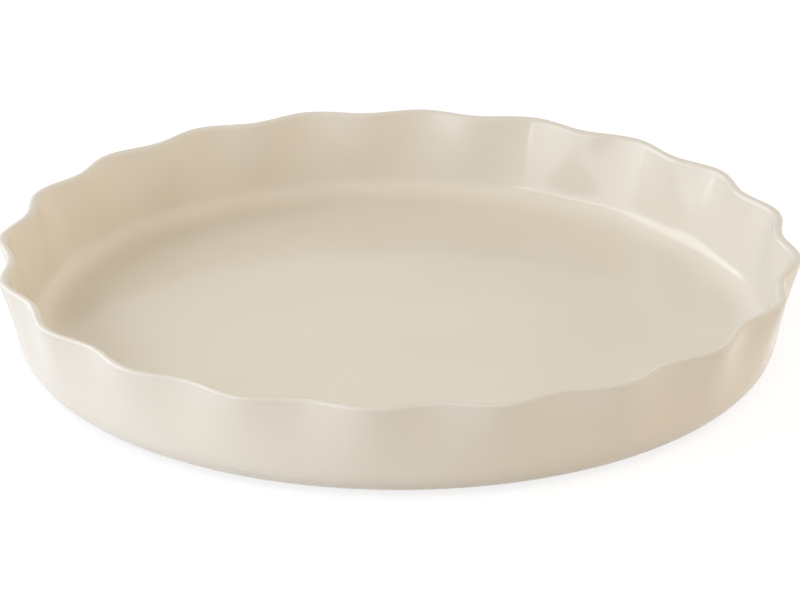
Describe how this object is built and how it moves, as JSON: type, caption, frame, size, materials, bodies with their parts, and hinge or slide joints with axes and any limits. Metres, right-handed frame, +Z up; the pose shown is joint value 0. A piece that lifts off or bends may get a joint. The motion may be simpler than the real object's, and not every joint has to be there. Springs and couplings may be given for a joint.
{
  "type": "tart dish",
  "caption": "Round straight-sided ceramic tart dish with a fluted wall, a rounded ruffled rim, a flat floor and a bare foot ring, for baking and serving tarts and quiches.",
  "frame": {"origin": "centre of the foot ring's tread, on the surface that the dish stands on", "axes": "+Z up along the dish's axis, out of its open mouth; +X through a crest of the flutes"},
  "size_m": [0.28, 0.28, 0.037],
  "materials": {
    "fired_clay": "bare fired stoneware, matte and finely grained",
    "cream_glaze": "glossy cream glaze, slightly thinner on the rim"
  },
  "bodies": {
    "root": {"stoneware_body": "fired_clay", "glaze_coat": "cream_glaze", "base_glaze": "cream_glaze"}
  },
  "joints": []
}
